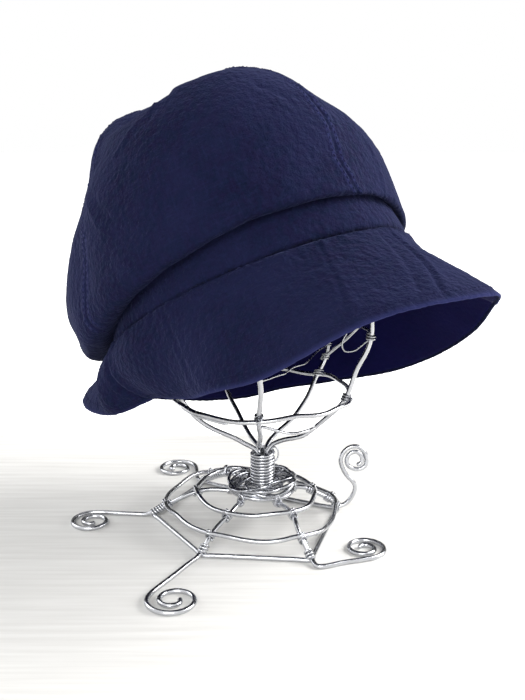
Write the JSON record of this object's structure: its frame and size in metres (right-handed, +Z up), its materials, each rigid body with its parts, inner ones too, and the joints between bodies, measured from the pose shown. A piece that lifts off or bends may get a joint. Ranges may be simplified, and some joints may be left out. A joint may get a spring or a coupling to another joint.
{
  "type": "brimmed cloth hat on wire hat stand",
  "caption": "Soft cloth hat with a full crown and drooping brim, tilted back on a hand-bent wire stand with scrolled feet.",
  "frame": {"origin": "bottom centre of the whole object's box, on the surface that the stand's feet lie on", "axes": "+Z up; the hat's front faces -Y, so -X is the wearer's right"},
  "size_m": [0.2222, 0.2762, 0.2776],
  "materials": {
    "hat_cloth": "washed double-gauze cotton and linen, matte with a soft sheen",
    "under_cloth": "plain cotton, matte",
    "wire": "bright drawn wire"
  },
  "bodies": {
    "root": {"crown": "hat_cloth", "brim": "hat_cloth", "under_brim": "under_cloth", "leg_right": "wire", "leg_front": "wire", "leg_back_left": "wire", "leg_back_right": "wire", "leg_left": "wire", "base_ring": "wire", "lower_dome_ring": "wire", "upper_dome_ring": "wire", "nest_ring": "wire", "neck_coil": "wire", "cage_rib_right": "wire", "cage_rib_back_right": "wire", "cage_rib_back_left": "wire", "cage_rib_left": "wire", "cage_rib_front": "wire", "basket_ring": "wire", "cage_hoop": "wire"}
  },
  "joints": []
}
